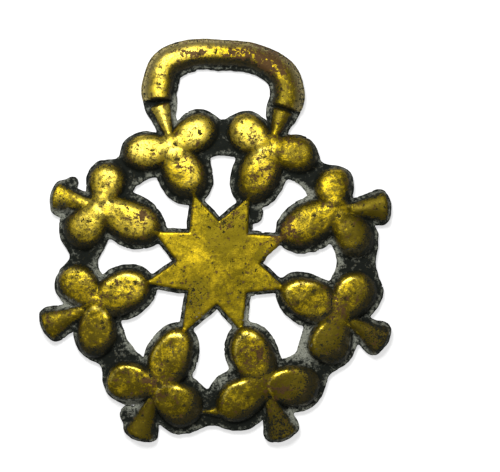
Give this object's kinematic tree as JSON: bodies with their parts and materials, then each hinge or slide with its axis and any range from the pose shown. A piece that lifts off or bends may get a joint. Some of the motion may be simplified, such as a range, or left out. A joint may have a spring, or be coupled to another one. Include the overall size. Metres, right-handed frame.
{
  "type": "horse brass",
  "caption": "Cast brass harness badge: a pointed star in a pierced ring of trefoils with flared stems, and a rounded bar for a strap on top.",
  "frame": {"origin": "the star's centre, on the flat back", "axes": "+X to the right of someone looking at the face, +Y towards the strap bar, +Z out of the face; the badge lies on its back"},
  "size_m": [0.0745, 0.0854, 0.0047],
  "materials": {
    "brass": "polished crowns, dark patina in the recesses"
  },
  "bodies": {
    "root": {"horse_brass": "brass"}
  },
  "joints": []
}
